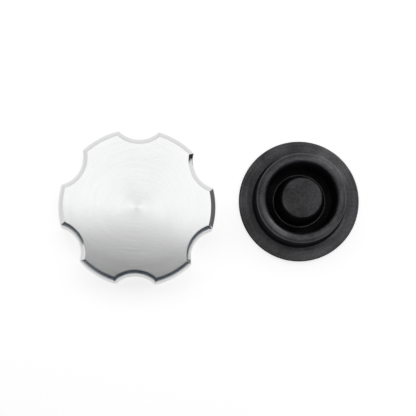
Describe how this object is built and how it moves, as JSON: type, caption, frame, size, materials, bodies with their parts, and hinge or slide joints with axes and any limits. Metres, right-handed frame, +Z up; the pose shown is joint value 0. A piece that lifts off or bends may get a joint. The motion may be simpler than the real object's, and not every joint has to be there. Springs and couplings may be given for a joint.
{
  "type": "brake fluid reservoir cap",
  "caption": "Scalloped billet aluminium screw cap for a brake fluid reservoir, with its folded black rubber diaphragm seal laid beside it.",
  "frame": {"origin": "on the plane that both pieces lie on, under the middle of the pair", "axes": "+Z up, along the axes of the cap and the diaphragm, out of the cap's top face; +X from the cap to the diaphragm"},
  "size_m": [0.1156, 0.058, 0.0206],
  "materials": {
    "billet_aluminium": "turned satin top face, milled scallops, bright bevel",
    "black_rubber": "moulded, dull with a soft sheen"
  },
  "bodies": {
    "root": {"cap": "billet_aluminium", "diaphragm": "black_rubber"}
  },
  "joints": []
}
